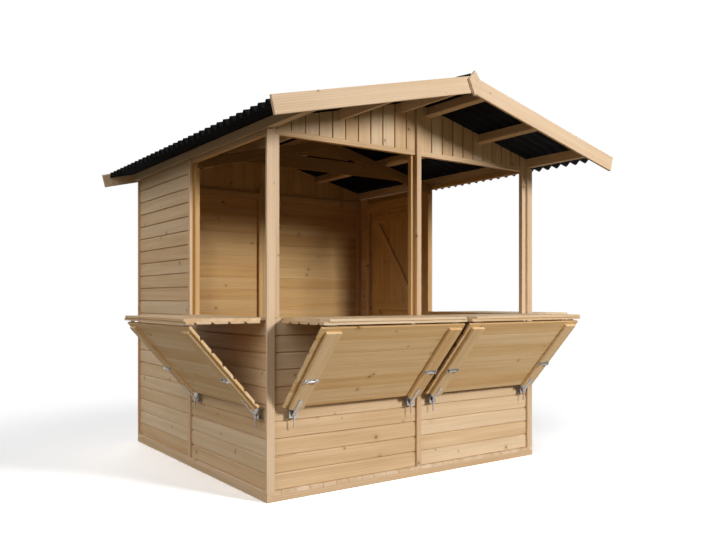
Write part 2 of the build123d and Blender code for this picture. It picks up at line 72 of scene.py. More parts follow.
# ---- floor and walls ----
BEARER_W, BEARERS = 0.045, 5
DECK_COVER, DECK_GAP = 0.0983, 0.0014  # deck boards, and half the gap between two
CORNER_W, STRIP_W, FRONT_STRIP_W = 0.053, 0.045, 0.038  # cover strips
FRAME_T = 0.036  # framing behind the cladding
RAIL_W, STUD_W = 0.058, 0.041
CORNER_POST_W = 0.075
POST_W, POST_T = 0.042, 0.034  # posts beside an open hatch
SIDE_POST_W = 0.032
REVEAL_T = 0.034  # reveal of an open hatch, from the cladding's face
SEAT = 0.0003  # clearance where two timbers butt or bear
TOUCH = 0.0002  # clearance where two timbers lie face to face

# ---- door ----
DOOR_GAP = 0.006
DOOR_BOARDS = 8
DOOR_SEAM, DOOR_VEE = 0.0006, 0.002  # half a seam, and the bevel beside it
DOOR_HEAD_H, DOOR_STOP = 0.07, 0.012
LEDGES = (0.227, 1.089, 1.941)  # undersides of the three ledges
LEDGE_T, LEDGE_H, LEDGE_END = 0.018, 0.070, 0.040
BRACE_W, BRACE_IN = 0.095, 0.006

# ---- roof ----
PITCH = math.radians(13.75)
SLOPE = math.tan(PITCH)
PURLIN_H, PURLIN_W = 0.063, 0.045
EAVE_RISE = 0.0106  # PLATE_Z to the underside of the upright eave purlins
PURLIN_SPACING, RIDGE_PURLIN_X = 0.5155, 0.1175
SPLICE_T, SPLICE_H, SPLICE_SPAN = 0.018, 0.050, (-0.290, -0.075)
RAFTER_H, RAFTER_W = 0.071, 0.036
TIE_RISE, UPPER_TIE_RISE, UPPER_TIE_HALF = 0.006, 0.017, 0.23
BARGE_H, BARGE_MITRE = 0.1035, 0.0005
WAVES, STEPS = 33, 24  # corrugations, and flats in each
WAVE_R, SHEET_T = 0.018, 0.003
SHEET_OVERHANG, SHEET_RIDGE_GAP = 0.200, 0.008
APEX_T, APEX_LOW, APEX_HIGH = 0.018, 0.098, 0.059

# ---- hatches ----
HATCH_LEN = 1.058
OUT = 0.489  # outer edge of the hatch's cladding, from the strips
LIP = 0.007  # counter boards beyond it
TOP_T, CLAD_T = 0.016, 0.016
RIGHT, LEFT = 0.012, 0.034  # cladding beyond the ends of the counter boards
COUNTER_BOARDS, COUNTER_START, CLAD_START = 5, -0.0177, 0.030
FLAP_LEN, FLAP_IN, FLAP_FOOT = 0.642, 0.018, 0.046
HINGE_R = 0.0036
BATTEN_W, BATTEN_T, BATTEN_TOP = 0.100, 0.018, 0.026
BATTEN_RIGHT, BATTEN_LEFT = 0.020, 0.034

INDOOR_SHADE_TINT = (0.93, 0.80, 0.54, 1)  # painted shade: a darker, warmer tint on faces that look into the room, for the dim bounced light in there
INDOOR_SHADE_IN = 0.012  # how far in from the cladding's face the painted shade starts
PACKER_SHADE_TONE = 2.0  # added to the tone of the packing strips: painted shade that darkens them
EASE = 0.002  # eased edges of most members


# ---------------------------------------------------------------- materials
class Net:
    """The node tree of a material, world or lamp, with a short way to add nodes."""

    def __init__(self, owner):
        self.owner = owner
        owner.use_nodes = True
        self.tree = owner.node_tree
        self.tree.nodes.clear()

    def put(self, socket, value):
        """Links a socket into another, or sets its constant."""
        if isinstance(value, bpy.types.NodeSocket):
            self.tree.links.new(value, socket)
        else:
            socket.default_value = value

    def add(self, kind, settings=None, **inputs):
        """A node. Inputs go by name, with _ for a space, or by number as i0, i1."""
        node = self.tree.nodes.new("ShaderNode" + kind)
        for key, value in (settings or {}).items():
            setattr(node, key, value)
        for key, value in inputs.items():
            numbered = key[0] == "i" and key[1:].isdigit()
            self.put(node.inputs[int(key[1:]) if numbered else key.replace("_", " ")], value)
        return node

    def math(self, operation, a, b=0.0):
        return self.add("Math", {"operation": operation}, i0=a, i1=b).outputs[0]

    def mapped(self, vector, scale):
        return self.add("Mapping", i0=vector, Scale=scale).outputs[0]

    def noise(self, vector, scale, detail=3.0, rough=0.5):
        node = self.add("TexNoise", i0=vector, Scale=scale, Detail=detail, Roughness=rough)
        return node.outputs[0]

    def span(self, value, low, high, to_low=0.0, to_high=1.0):
        """Maps low..high smoothly onto to_low..to_high."""
        node = self.add("MapRange", {"interpolation_type": "SMOOTHSTEP"}, Value=value)
        names = ("From Min", "From Max", "To Min", "To Max")
        for key, number in zip(names, (low, high, to_low, to_high)):
            node.inputs[key].default_value = number
        return node.outputs[0]

    def ramp(self, fac, stops):
        node = self.add("ValToRGB", i0=fac)
        for end, (place, colour) in zip(node.color_ramp.elements, stops):
            end.position = place
            end.color = (*colour, 1)
        return node.outputs[0]

    def mix(self, fac, a, b, blend="MIX"):
        node = self.add("Mix", {"data_type": "RGBA", "blend_type": blend}, i0=fac, i6=a, i7=b)
        return node.outputs[2]

    def finish(self, **inputs):
        shader = self.add("BsdfPrincipled", **inputs)
        self.add("OutputMaterial", Surface=shader.outputs[0])
        return self.owner


def pine(name, light, dark, knots=1.0, tone=0.16, rough=0.55):
    """Planed softwood. Reads each member's own coordinates: along, across and into the board.

    Faces that look into the room get painted shade: a darker, warmer tint for the dim bounced
    light in there.
    """
    net = Net(bpy.data.materials.new(name))
    place = net.add("Attribute", {"attribute_name": "grain"}).outputs["Vector"]
    own = net.add("Attribute", {"attribute_name": "tone"}).outputs["Fac"]
    indoor_shade = net.add("Attribute", {"attribute_name": "indoor_shade"}).outputs["Fac"]
    bend = net.noise(net.mapped(place, (0.9, 7, 7)), 1.0, 2.0)
    # knots: round spots scattered over the face of a board
    flat = {"voronoi_dimensions": "2D"}
    spots = net.add("TexVoronoi", flat, i0=place, Scale=4.6, Randomness=1.0)
    kind = net.add("SeparateColor", i0=spots.outputs["Color"])
    size = net.span(kind.outputs[0], 0.35, 1.0, 0.0, 0.062 * knots)
    away = net.math("DIVIDE", spots.outputs["Distance"], net.math("ADD", size, 0.0005))
    knot = net.span(away, 0.45, 1.05, 1.0, 0.0)
    halo = net.span(away, 0.8, 3.2, 1.0, 0.0)
    # growth rings: long bands that bend, and swing round the knots
    parts = net.add("SeparateXYZ", i0=place)
    across = net.math("ADD", parts.outputs[1], net.math("MULTIPLY", bend, 0.045))
    across = net.math("ADD", across, net.math("MULTIPLY", halo, 0.008))
    across = net.math("ADD", across, net.math("MULTIPLY", parts.outputs[2], 0.8))
    stretched = net.math("MULTIPLY", parts.outputs[0], 0.05)
    ring_place = net.add("CombineXYZ", i0=stretched, i1=across).outputs[0]
    saw = {"bands_direction": "Y", "wave_profile": "SAW"}
    rings = net.add("TexWave", saw, i0=ring_place, Scale=26.0, Distortion=2.2, Detail=2.0)
    fibre = net.noise(net.mapped(place, (5, 240, 240)), 1.0, 3.0, 0.6)
    streak = net.noise(net.mapped(place, (0.8, 26, 26)), 1.0, 3.0, 0.55)
    patch = net.noise(net.mapped(place, (1.6, 4, 4)), 1.0, 2.0)
    # all of them weighed together, about a middle of one half
    value = net.math("MULTIPLY", rings.outputs["Fac"], 0.34)
    middle = 0.34 / 2
    for layer, weight in ((streak, 0.85), (fibre, 0.30), (patch, 0.35), (own, tone * 2)):
        value = net.math("ADD", value, net.math("MULTIPLY", layer, weight))
        middle += weight / 2
    colour = net.ramp(net.math("ADD", value, 0.5 - middle), [(0.12, light), (0.88, dark)])
    warmth = net.span(own, 0.0, 1.0, 0.0, 0.22)
    warm = net.mix(warmth, colour, (0.62, 0.36, 0.17, 1), "SOFT_LIGHT")
    # painted shade: faces inside the room, and the packing strips, are multiplied by a darker,
    # warmer tint
    warm = net.mix(indoor_shade, warm, INDOOR_SHADE_TINT, "MULTIPLY")
    brown = tuple(c * 0.42 for c in dark[:2]) + (dark[2] * 0.30, 1)
    shaded = net.mix(net.math("MULTIPLY", halo, 0.28), warm, (*[c * 0.72 for c in dark], 1))
    painted = net.mix(net.math("MULTIPLY", knot, 0.88), shaded, brown)
    sheen = net.span(net.math("ADD", fibre, streak), 0.6, 1.4, rough - 0.08, rough + 0.12)
    raised = net.math("MULTIPLY", fibre, 0.6)
    raised = net.math("ADD", raised, net.math("MULTIPLY", rings.outputs["Fac"], 0.4))
    bump = net.add("Bump", Strength=0.35, Distance=0.0008, Height=raised)
    return net.finish(
        Base_Color=painted, Roughness=sheen, Specular_IOR_Level=0.12, Normal=bump.outputs[0]
    )


def bitumen(name):
    """Black bitumen sheet: matt, with a fine fibrous surface and pale specks."""
    net = Net(bpy.data.materials.new(name))
    place = net.add("TexCoord").outputs["Object"]
    coarse = net.noise(net.mapped(place, (3, 3, 3)), 1.0, 4.0, 0.6)
    fine = net.noise(net.mapped(place, (260, 320, 260)), 1.0, 3.0, 0.7)
    colour = net.ramp(coarse, [(0.3, (0.004, 0.004, 0.0045)), (0.75, (0.012, 0.0115, 0.0115))])
    speck = net.mix(net.span(fine, 0.62, 0.75, 0.0, 0.3), colour, (0.035, 0.034, 0.032, 1))
    sheen = net.span(coarse, 0.3, 0.7, 0.62, 0.85)
    bump = net.add("Bump", Strength=0.5, Distance=0.0012, Height=fine)
    return net.finish(
        Base_Color=speck, Roughness=sheen, Specular_IOR_Level=0.06, Normal=bump.outputs[0]
    )


def zinc(name):
    """Zinc plated steel, slightly dulled, with a faint mottle."""
    net = Net(bpy.data.materials.new(name))
    place = net.add("TexCoord").outputs["Object"]
    mottle = net.noise(place, 60.0, 4.0, 0.6)
    scratch = net.noise(net.mapped(place, (400, 30, 400)), 1.0, 2.0)
    colour = net.ramp(mottle, [(0.3, (0.27, 0.26, 0.25)), (0.7, (0.43, 0.41, 0.39))])
    sheen = net.span(mottle, 0.3, 0.7, 0.24, 0.42)
    bump = net.add("Bump", Strength=0.12, Distance=0.0003, Height=scratch)
    return net.finish(Base_Color=colour, Roughness=sheen, Metallic=1.0, Normal=bump.outputs[0])


MAT = {
    "clad": pine("pine_cladding", (0.78, 0.61, 0.42), (0.54, 0.37, 0.21)),
    "frame": pine("pine_framing", (0.76, 0.58, 0.41), (0.53, 0.37, 0.22), 0.8, 0.12),
    "hatch": pine("pine_hatches", (0.86, 0.65, 0.40), (0.60, 0.395, 0.18), tone=0.14),
    "roof": pine("pine_roof_trim", (0.76, 0.60, 0.45), (0.56, 0.41, 0.26), 0.7, 0.10, 0.6),
    # a much darker copy of the pine for the truss: painted shade for its place deep under the roof
    "truss_painted_shade": pine("pine_truss_painted_shade", (0.33, 0.23, 0.14), (0.21, 0.135, 0.07), 0.7, 0.10, 0.6),
    "base": pine("pine_base", (0.80, 0.63, 0.46), (0.56, 0.41, 0.26), 0.6, 0.2, 0.65),
    "bitumen": bitumen("bitumen_sheet_black"),
    "zinc": zinc("zinc_plated_steel"),
}


# ---------------------------------------------------------------- mesh code
class Timber:
    """Collects members into one mesh, each with its own grain coordinates and tone."""

    def __init__(self):
        self.points, self.faces, self.grain, self.tones, self.indoor_shade = [], [], [], [], []

    def prism(self, origin, along, across, span, section, cuts=(), brown=False):
        """A member: section points (across, out), run along between the two distances."""
        out = along.cross(across)
        shape = bmesh.new()
        rings = [
            [shape.verts.new(origin + along * distance + across * a + out * b) for a, b in section]
            for distance in span
        ]
        count = len(section)
        shape.faces.new(rings[0])
        shape.faces.new(rings[1])
        for i in range(count):
            j = (i + 1) % count
            shape.faces.new((rings[0][i], rings[0][j], rings[1][j], rings[1][i]))
        for point, normal in cuts:
            everything = shape.verts[:] + shape.edges[:] + shape.faces[:]
            made = bmesh.ops.bisect_plane(
                shape, geom=everything, plane_co=point, plane_no=normal, clear_outer=True
            )
            rim = [e for e in made["geom_cut"] if isinstance(e, bmesh.types.BMEdge)]
            if rim:
                bmesh.ops.edgeloop_fill(shape, edges=rim)
        bmesh.ops.recalc_face_normals(shape, faces=shape.faces[:])
        shift = Vector((rng.uniform(0, 40), rng.uniform(0, 40), rng.uniform(0, 40)))
        # packing strips (brown) are pushed to the dark end of the colour ramp: painted shade
        tone = rng.random() + (PACKER_SHADE_TONE if brown else 0.0)
        start = len(self.points)
        for index, vert in enumerate(shape.verts):
            vert.index = index
            place = vert.co - origin
            self.points.append(vert.co[:])
            self.grain.append(Vector([place.dot(axis) for axis in (along, across, out)]) + shift)
            self.tones.append(tone)
            # marks members inside the room, and the packing strips, for the painted shade tint
            within_x = abs(vert.co.x) < FACE_X - INDOOR_SHADE_IN
            within_y = abs(vert.co.y) < FACE_Y - INDOOR_SHADE_IN
            self.indoor_shade.append(float(brown or (within_x and within_y)))
        for face in shape.faces:
            self.faces.append([start + vert.index for vert in face.verts])
        shape.free()

    def beam(self, low, high, chamfer=0.0015, cuts=(), brown=False):
        """A planed timber between two corners, its grain along its longest side."""
        low, high = Vector(low), Vector(high)
        size = high - low
        axis = max(range(3), key=lambda k: size[k])
        along = (X, Y, Z)[axis]
        across = (Y, Z, X)[axis]
        a, b = size[(axis + 1) % 3], size[(axis + 2) % 3]
        self.prism(low, along, across, (0, size[axis]), eased(a, b, chamfer), cuts, brown)

    def build(self, name, material, replaces, body="stall"):
        mesh = bpy.data.meshes.new(name)
        mesh.from_pydata(self.points, [], self.faces)
        grain = mesh.attributes.new("grain", "FLOAT_VECTOR", "POINT")
        grain.data.foreach_set("vector", [c for v in self.grain for c in v])
        for label, values in (("tone", self.tones), ("indoor_shade", self.indoor_shade)):
            layer = mesh.attributes.new(label, "FLOAT", "POINT")
            layer.data.foreach_set("value", values)
        mesh.materials.append(MAT[material])
        piece = bpy.data.objects.new(name, mesh)
        bpy.context.collection.objects.link(piece)
        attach(piece, body)
        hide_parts(*replaces)


def eased(a, b, c):
    """A rectangle a by b with its corners eased by c."""
    c = min(c, a / 4, b / 4)
    return [(c, 0), (a - c, 0), (a, c), (a, b - c), (a - c, b), (c, b), (0, b - c), (0, c)]


def mirrored(section):
    return [(a, -b) for a, b in section]


def shiplap(low, high, thick, cover=COVER, lap=LAP, deep=COVE, groove=GROOVE):
    """Section of a shiplap board, (across, out) with out 0 on its face; low to high clips it."""
    curve = [(0.0, 0.0), (0.25, 0.22), (0.5, 0.55), (0.75, 0.85), (1.0, 1.0)]
    face = [(ARRIS, 0.0)]
    if cover > lap:
        face += [(cover - lap + (lap - GROOVE) * COVE_RUN * t, -deep * d) for t, d in curve]
    notch = min(deep + NOTCH, thick - TONGUE - BEVEL)
    face += [(cover - GROOVE, -deep), (cover - GROOVE, -notch), (cover - HAIR, -notch)]
    inner = -thick + TONGUE
    edge = [(cover - HAIR, inner), (cover - groove, inner), (cover - groove, -thick + BEVEL)]
    edge += [(cover - groove - BEVEL, -thick), (BEVEL, -thick), (0.0, -thick + BEVEL)]
    ring = face + edge + [(0.0, -ARRIS)]
    return clip(clip(ring, low, 1), high, -1)


def clip(ring, limit, sign):
    """The part of a section whose across is over (sign 1) or under (sign -1) the limit."""
    kept = []
    for i, here in enumerate(ring):
        there = ring[(i + 1) % len(ring)]
        inside, next_inside = (here[0] - limit) * sign >= 0, (there[0] - limit) * sign >= 0
        if inside:
            kept.append(here)
        if inside != next_inside:
            t = (limit - here[0]) / (there[0] - here[0])
            kept.append((limit, here[1] + (there[1] - here[1]) * t))
    return kept


def cladding(made, along, out, span, heights, face, base, thick):
    """Horizontal shiplap boards: span along the wall, face the distance of the outside."""
    course = math.floor((heights[0] - base) / COVER + 1e-6)
    while base + course * COVER < heights[1] - SLIVER:
        low = base + course * COVER
        section = shiplap(heights[0] - low, heights[1] - low, thick)
        if along.cross(Z).dot(out) < 0:
            section = mirrored(section)
        made.prism(out * face + Z * low, along, Z, span, section)
        course += 1


def box(node):
    low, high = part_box(node)
    return Vector(low), Vector(high)


def pair(side, a, b):
    """Two distances on one side of the middle, as limits with the lower one first."""
    return sorted((side * a, side * b))


# ---------------------------------------------------------------- values from the frame
deck_low, deck_high = box("floor_deck")
HALF_W, HALF_D = deck_high.x, deck_high.y
WALL_Z = deck_high.z
BEARER_H = deck_low.z
front_low, front_high = box("front_wall")
BACK_X, FACE_Y, BACK_Y = front_high.x, -front_low.y, -front_high.y
SILL_Z = front_high.z
left_low, left_high = box("left_wall_front")
FACE_X = -left_low.x
JOINT_Y = left_high.y + PANEL_GAP
SIDE_TOP = box("left_wall_rear")[1].z
LINTEL_Z = box("front_gable")[0].z
THICK = FACE_X - BACK_X
mid_low, mid_high = box("front_mid_post")
side_low, side_high = box("side_mid_posts")
FRONT_JOINT = (box("front_left_counter")[1].x + box("front_right_counter")[0].x) / 2
FRONT_STRIP_X = FRONT_JOINT + 0.002
SIDE_STRIP_Y = JOINT_Y - 0.012  # front edge of the middle strip of a side wall
REVEAL_X, REVEAL_Y = FACE_X - REVEAL_T, FACE_Y - REVEAL_T
FRAME_X, FRAME_Y = BACK_X - FRAME_T, BACK_Y - FRAME_T
CORNER_IN = FACE_X - CORNER_POST_W
PLATE_Z = box("front_corner_posts")[1].z
PURLIN_LINE = PLATE_Z + HALF_W * SLOPE  # a roof line is its height over the middle
SHEET_LINE = PURLIN_LINE + PURLIN_H / math.cos(PITCH)
GABLE_TOP = SHEET_LINE - GABLE_CLEAR
EAVE_Z = PLATE_Z + EAVE_RISE
POST_TOP = EAVE_Z - SEAT


def roof_cuts(line):
    """Planes that cut a member off under a roof line, one for each slope."""
    return [(Vector((0, 0, line)), Vector((s * SLOPE, 0, 1)).normalized()) for s in (-1, 1)]


def slope_axes(side):
    """Unit vectors down one slope of the roof and square up from it."""
    run = Vector((side * math.cos(PITCH), 0, -math.sin(PITCH)))
    return run, Vector((side * math.sin(PITCH), 0, math.cos(PITCH)))


# ---------------------------------------------------------------- base
made = Timber()
for side in (-1, 1):
    xs = pair(side, HALF_W, HALF_W - BEARER_W)
    made.beam((xs[0], -HALF_D, 0), (xs[1], HALF_D, BEARER_H), EASE)
inner = HALF_W - BEARER_W - SEAT
for step in range(BEARERS):
    y = -HALF_D + step * (2 * HALF_D - BEARER_W) / (BEARERS - 1)
    made.beam((-inner, y, 0), (inner, y + BEARER_W, BEARER_H), EASE)
made.build("floor_bearers", "base", ["base_bearers"])

made = Timber()
x = -HALF_W
while x < HALF_W - SLIVER:
    end = min(x + DECK_COVER, HALF_W) - DECK_GAP
    made.beam((x + DECK_GAP, -HALF_D, BEARER_H), (end, HALF_D, WALL_Z), EASE)
    x += DECK_COVER
made.build("floor_boards", "base", ["floor_deck"])

# ---------------------------------------------------------------- clad walls
made = Timber()
for xs in ((-BACK_X, FRONT_JOINT - PANEL_GAP), (FRONT_JOINT + PANEL_GAP, BACK_X)):
    cladding(made, X, -Y, xs, (WALL_Z + DRIP, SILL_Z), FACE_Y, WALL_Z, THICK)
made.build("front_boards", "clad", ["front_wall"])

halves = ((-BACK_X, -PANEL_GAP), (PANEL_GAP, BACK_X))
rear_top = box("back_wall")[1].z
made = Timber()
for xs in halves:
    cladding(made, X, Y, xs, (WALL_Z + DRIP, rear_top), FACE_Y, WALL_Z, THICK)
made.build("back_boards", "clad", ["back_wall"])

for side, node, title in (
    (-1, "left_wall_front", "left_boards_front"),
    (-1, "left_wall_rear", "left_boards_rear"),
    (1, "right_wall_front", "right_boards_front"),
    (1, "right_wall_rear", "right_boards_rear"),
    (1, "right_wall_over_door", "right_boards_over_door"),
    (1, "right_wall_beside_door", "right_boards_beside_door"),
):
    low, high = box(node)
    ys, heights = (low.y, high.y), (low.z + DRIP, high.z)
    made = Timber()
    cladding(made, Y, X * side, ys, heights, FACE_X, WALL_Z - SIDE_DROP, THICK)
    made.build(title, "clad", [node])

# gables: upright shiplap boards over a flat rail
rail_top = LINTEL_Z + GABLE_RAIL
uncut = 0.6  # longer than the tallest of them
for node, title, out in (
    ("front_gable", "front_gable_boards", -Y),
    ("back_gable", "back_gable_boards", Y),
):
    low, high = box(node)
    made = Timber()
    for xs in halves:
        made.beam((xs[0], low.y, LINTEL_Z), (xs[1], high.y, rail_top))
        x = xs[0] - GABLE_START
        while x < xs[1] - SLIVER:
            start = max(x, xs[0])
            end = min(GABLE_COVER, xs[1] - x)
            section = shiplap(start - x, end, THICK, GABLE_COVER)
            if Z.cross(X).dot(out) < 0:
                section = mirrored(section)
            foot = Vector((x, out.y * FACE_Y, rail_top))
            made.prism(foot, Z, X, (0, uncut), section, roof_cuts(GABLE_TOP))
            x += GABLE_COVER
    made.build(title, "clad", [node])

# ---------------------------------------------------------------- cover strips and posts
made = Timber()
for side, middle, wide in ((-1, FRONT_STRIP_X, FRONT_STRIP_W), (1, 0.0, STRIP_W)):
    y1, y2 = pair(side, HALF_D, FACE_Y)
    for end in (-1, 1):
        x1, x2 = pair(end, HALF_W, HALF_W - CORNER_W)
        made.beam((x1, y1, WALL_Z), (x2, y2, PLATE_Z))
    top = GABLE_TOP - (middle + wide / 2) * SLOPE
    made.beam((middle - wide / 2, y1, WALL_Z), (middle + wide / 2, y2, top))
    x1, x2 = pair(side, HALF_W, FACE_X)
    made.beam((x1, SIDE_STRIP_Y, WALL_Z), (x2, JOINT_Y + STRIP_W / 2, PLATE_Z))
made.build("joint_strips", "frame", ["cover_strips"])

made = Timber()
for side in (-1, 1):
    x1, x2 = pair(side, CORNER_IN, BACK_X)
    made.beam((x1, -BACK_Y, WALL_Z), (x2, -FRAME_Y, SILL_Z))
    face_x1, face_x2 = pair(side, CORNER_IN, FACE_X)
    made.beam((face_x1, -FACE_Y, SILL_Z), (face_x2, -REVEAL_Y, LINTEL_Z))
    made.beam((x1, -BACK_Y, LINTEL_Z), (x2, -REVEAL_Y, POST_TOP))
made.build("corner_posts", "frame", ["front_corner_posts"])

# middle post: two posts side by side, with a strip packed out to the cladding's face, darkened
# with painted shade for its recess
made = Timber()
for x1, x2 in (
    (FRONT_JOINT - POST_W, FRONT_JOINT - HAIR),
    (FRONT_JOINT + HAIR, min(FRONT_JOINT + POST_W, mid_high.x)),
):
    made.beam((x1, -BACK_Y, WALL_Z), (x2, -BACK_Y + POST_T, mid_high.z))
x1, x2 = FRONT_STRIP_X - FRONT_STRIP_W / 2, FRONT_STRIP_X + FRONT_STRIP_W / 2
made.beam((x1, -FACE_Y, SILL_Z), (x2, -BACK_Y - TOUCH, LINTEL_Z), BEVEL, brown=True)
made.build("middle_post", "frame", ["front_mid_post"])

made = Timber()
for side in (-1, 1):
    x1, x2 = pair(side, FRAME_X, BACK_X)
    made.beam((x1, side_low.y, WALL_Z), (x2, side_high.y, SILL_Z))
    x1, x2 = pair(side, BACK_X - POST_T, BACK_X)
    made.beam((x1, side_high.y - SIDE_POST_W, SILL_Z), (x2, side_high.y, LINTEL_Z))
    x1, x2 = pair(side, BACK_X + TOUCH, FACE_X)
    # packing strip, darkened with painted shade (brown)
    made.beam((x1, SIDE_STRIP_Y, SILL_Z), (x2, side_high.y, LINTEL_Z), BEVEL, brown=True)
    x1, x2 = pair(side, REVEAL_X, BACK_X)
    made.beam((x1, side_low.y, LINTEL_Z), (x2, side_high.y, POST_TOP))
made.build("side_posts", "frame", ["side_mid_posts"])

made = Timber()
for side in (-1, 1):
    x1, x2 = pair(side, BACK_X - STUD_W, BACK_X)
    made.beam((x1, FRAME_Y, WALL_Z), (x2, BACK_Y, POST_TOP))
for x1, x2 in ((-STUD_W, -HAIR), (HAIR, STUD_W)):
    made.beam((x1, FRAME_Y, WALL_Z), (x2, BACK_Y, box("back_studs")[1].z))
made.build("rear_studs", "frame", ["back_studs"])

# ---------------------------------------------------------------- rails
rear_bay = (JOINT_Y + STUD_W + SEAT, BACK_Y - FRAME_T - SEAT)
post_front = side_low.y


def front_bay(side):
    """X limits between the middle post of the front and a corner post."""
    near = mid_high.x + SEAT if side > 0 else mid_low.x - SEAT
    return sorted((near, side * (CORNER_IN - SEAT)))


def back_bay(side):
    """X limits between the middle studs of the back and a corner stud."""
    return pair(side, STUD_W + SEAT, BACK_X - STUD_W - SEAT)


made = Timber()
for side in (-1, 1):
    fx = front_bay(side)
    sx = pair(side, FRAME_X, BACK_X)
    bx = back_bay(side)
    for z1 in (SILL_Z - RAIL_W, WALL_Z):
        made.beam((fx[0], -BACK_Y, z1), (fx[1], -FRAME_Y, z1 + RAIL_W))
        made.beam((sx[0], -FRAME_Y + SEAT, z1), (sx[1], post_front - SEAT, z1 + RAIL_W))
    made.beam((bx[0], FRAME_Y, WALL_Z), (bx[1], BACK_Y, WALL_Z + RAIL_W))
made.beam((-BACK_X, rear_bay[0], WALL_Z), (-FRAME_X, rear_bay[1], WALL_Z + RAIL_W))
made.build("low_rails", "frame", ["wall_rails"])

made = Timber()
for side in (-1, 1):
    fx = front_bay(side)
    bx = back_bay(side)
    made.beam((fx[0], -BACK_Y, LINTEL_Z), (fx[1], -REVEAL_Y, LINTEL_Z + RAIL_W))
    made.beam((bx[0], FRAME_Y, LINTEL_Z - RAIL_W), (bx[1], BACK_Y, LINTEL_Z))
    sx = pair(side, BACK_X, FACE_X)
    made.beam((sx[0], -FACE_Y, LINTEL_Z), (sx[1], JOINT_Y - PANEL_GAP, SIDE_TOP))
    sx = pair(side, REVEAL_X, BACK_X)
    made.beam((sx[0], -REVEAL_Y + SEAT, LINTEL_Z), (sx[1], post_front - SEAT, POST_TOP))
made.build("high_rails", "frame", ["top_rails"])

made = Timber()
made.beam((-BACK_X, JOINT_Y + SEAT, WALL_Z), (-FRAME_X, JOINT_Y + STUD_W, PLATE_Z))
made.beam((-BACK_X, rear_bay[0], PLATE_Z - RAIL_W), (-FRAME_X, rear_bay[1], PLATE_Z))
made.build("left_studs", "frame", ["left_rear_frame"])

# ---------------------------------------------------------------- door
door_low, door_high = box("door")
made = Timber()
latch = (door_high.y + DOOR_GAP, door_high.y + DOOR_GAP + STUD_W)
made.beam((FRAME_X, JOINT_Y + SEAT, WALL_Z), (BACK_X, door_low.y - DOOR_GAP, PLATE_Z))
made.beam((FRAME_X, latch[0], WALL_Z), (BACK_X, latch[1], PLATE_Z))
head = door_high.z + DOOR_GAP
y1, y2 = door_low.y - DOOR_GAP + SEAT, latch[0] - SEAT
made.beam((FRAME_X, y1, head), (BACK_X, y2, head + DOOR_HEAD_H))
made.beam((FRAME_X, y1, head - 2 * DOOR_STOP), (BACK_X - DOOR_GAP, y2, head - TOUCH))
made.build("door_lining", "frame", ["door_frame"])

made = Timber()
width = (door_high.y - door_low.y) / DOOR_BOARDS
near, far = DOOR_SEAM, DOOR_SEAM + DOOR_VEE
vee = [(near, -DOOR_VEE), (far, 0), (width - far, 0), (width - near, -DOOR_VEE)]
vee += [(width - near, -THICK + DOOR_VEE), (width - far, -THICK)]
vee += [(far, -THICK), (near, -THICK + DOOR_VEE)]
for i in range(DOOR_BOARDS):
    corner = Vector((FACE_X, door_low.y + i * width, 0))
    made.prism(corner, Z, Y, (door_low.z, door_high.z), mirrored(vee))
y1, y2 = door_low.y + LEDGE_END, door_high.y - LEDGE_END
for z1 in LEDGES:
    made.beam((BACK_X - LEDGE_T, y1, z1), (BACK_X, y2, z1 + LEDGE_H), EASE)
overrun = 0.2  # of a brace past both ledges, before they cut it
for lower, upper in ((1, 2), (0, 1)):
    z1, z2 = LEDGES[lower] + LEDGE_H, LEDGES[upper]
    foot = Vector((BACK_X, y1 + BRACE_IN, z1))
    top = Vector((BACK_X, y2 - BRACE_IN - BRACE_W, z2))
    run = (top - foot).normalized()
    side = -X.cross(run)
    section = eased(BRACE_W * run.z, LEDGE_T, EASE)
    if run.cross(side).x > 0:
        section = [(a, b - LEDGE_T) for a, b in section]
    sign = 1 if side.y > 0 else -1
    section = [(a * sign, b) for a, b in section]
    cuts = [(Vector((0, 0, z1)), -Z), (Vector((0, 0, z2)), Z)]
    made.prism(foot, run, side, (-overrun, (top - foot).length + overrun), section, cuts)
made.build("door_leaf_boards", "clad", ["door"], body="door_leaf")

# ---------------------------------------------------------------- roof timber
purlin_low, purlin_high = box("purlins")
roof_span = (purlin_low.y, purlin_high.y)
made = Timber()
for side in (-1, 1):
    inner_top = SHEET_LINE - (HALF_W - PURLIN_W) * SLOPE
    outer_top = SHEET_LINE - HALF_W * SLOPE
    rise = [(0, EAVE_Z), (PURLIN_W, EAVE_Z), (PURLIN_W, inner_top), (0, outer_top)]
    section = [(-side * a, z - EAVE_Z) for a, z in rise]
    made.prism(Vector((side * HALF_W, 0, EAVE_Z)), Y, X, roof_span, mirrored(section))
for reach in (HALF_W - PURLIN_W / 2 - PURLIN_SPACING, RIDGE_PURLIN_X):
    for side in (-1, 1):
        middle = PURLIN_LINE - reach * SLOPE + PURLIN_H / 2 / math.cos(PITCH)
        across = Vector((math.cos(PITCH), 0, -side * math.sin(PITCH)))
        origin = Vector((side * reach, 0, middle)) - across * PURLIN_W / 2
        section = [(a, b - PURLIN_H / 2) for a, b in eased(PURLIN_W, PURLIN_H, EASE)]
        made.prism(origin, Y, across, roof_span, section)
        plate = -SPLICE_T if side > 0 else PURLIN_W
        section = [(plate + a, b - SPLICE_H / 2) for a, b in eased(SPLICE_T, SPLICE_H, EASE)]
        made.prism(origin, Y, across, SPLICE_SPAN, section)
made.build("roof_purlins", "roof", ["purlins"])


def sloping(made, side, origin, section, span, cuts):
    """A member down one slope of the roof, its section (down from the slope, back)."""
    run, up = slope_axes(side)
    if run.cross(-up).y < 0:
        section = mirrored(section)
    made.prism(origin, run, -up, span, section, cuts)


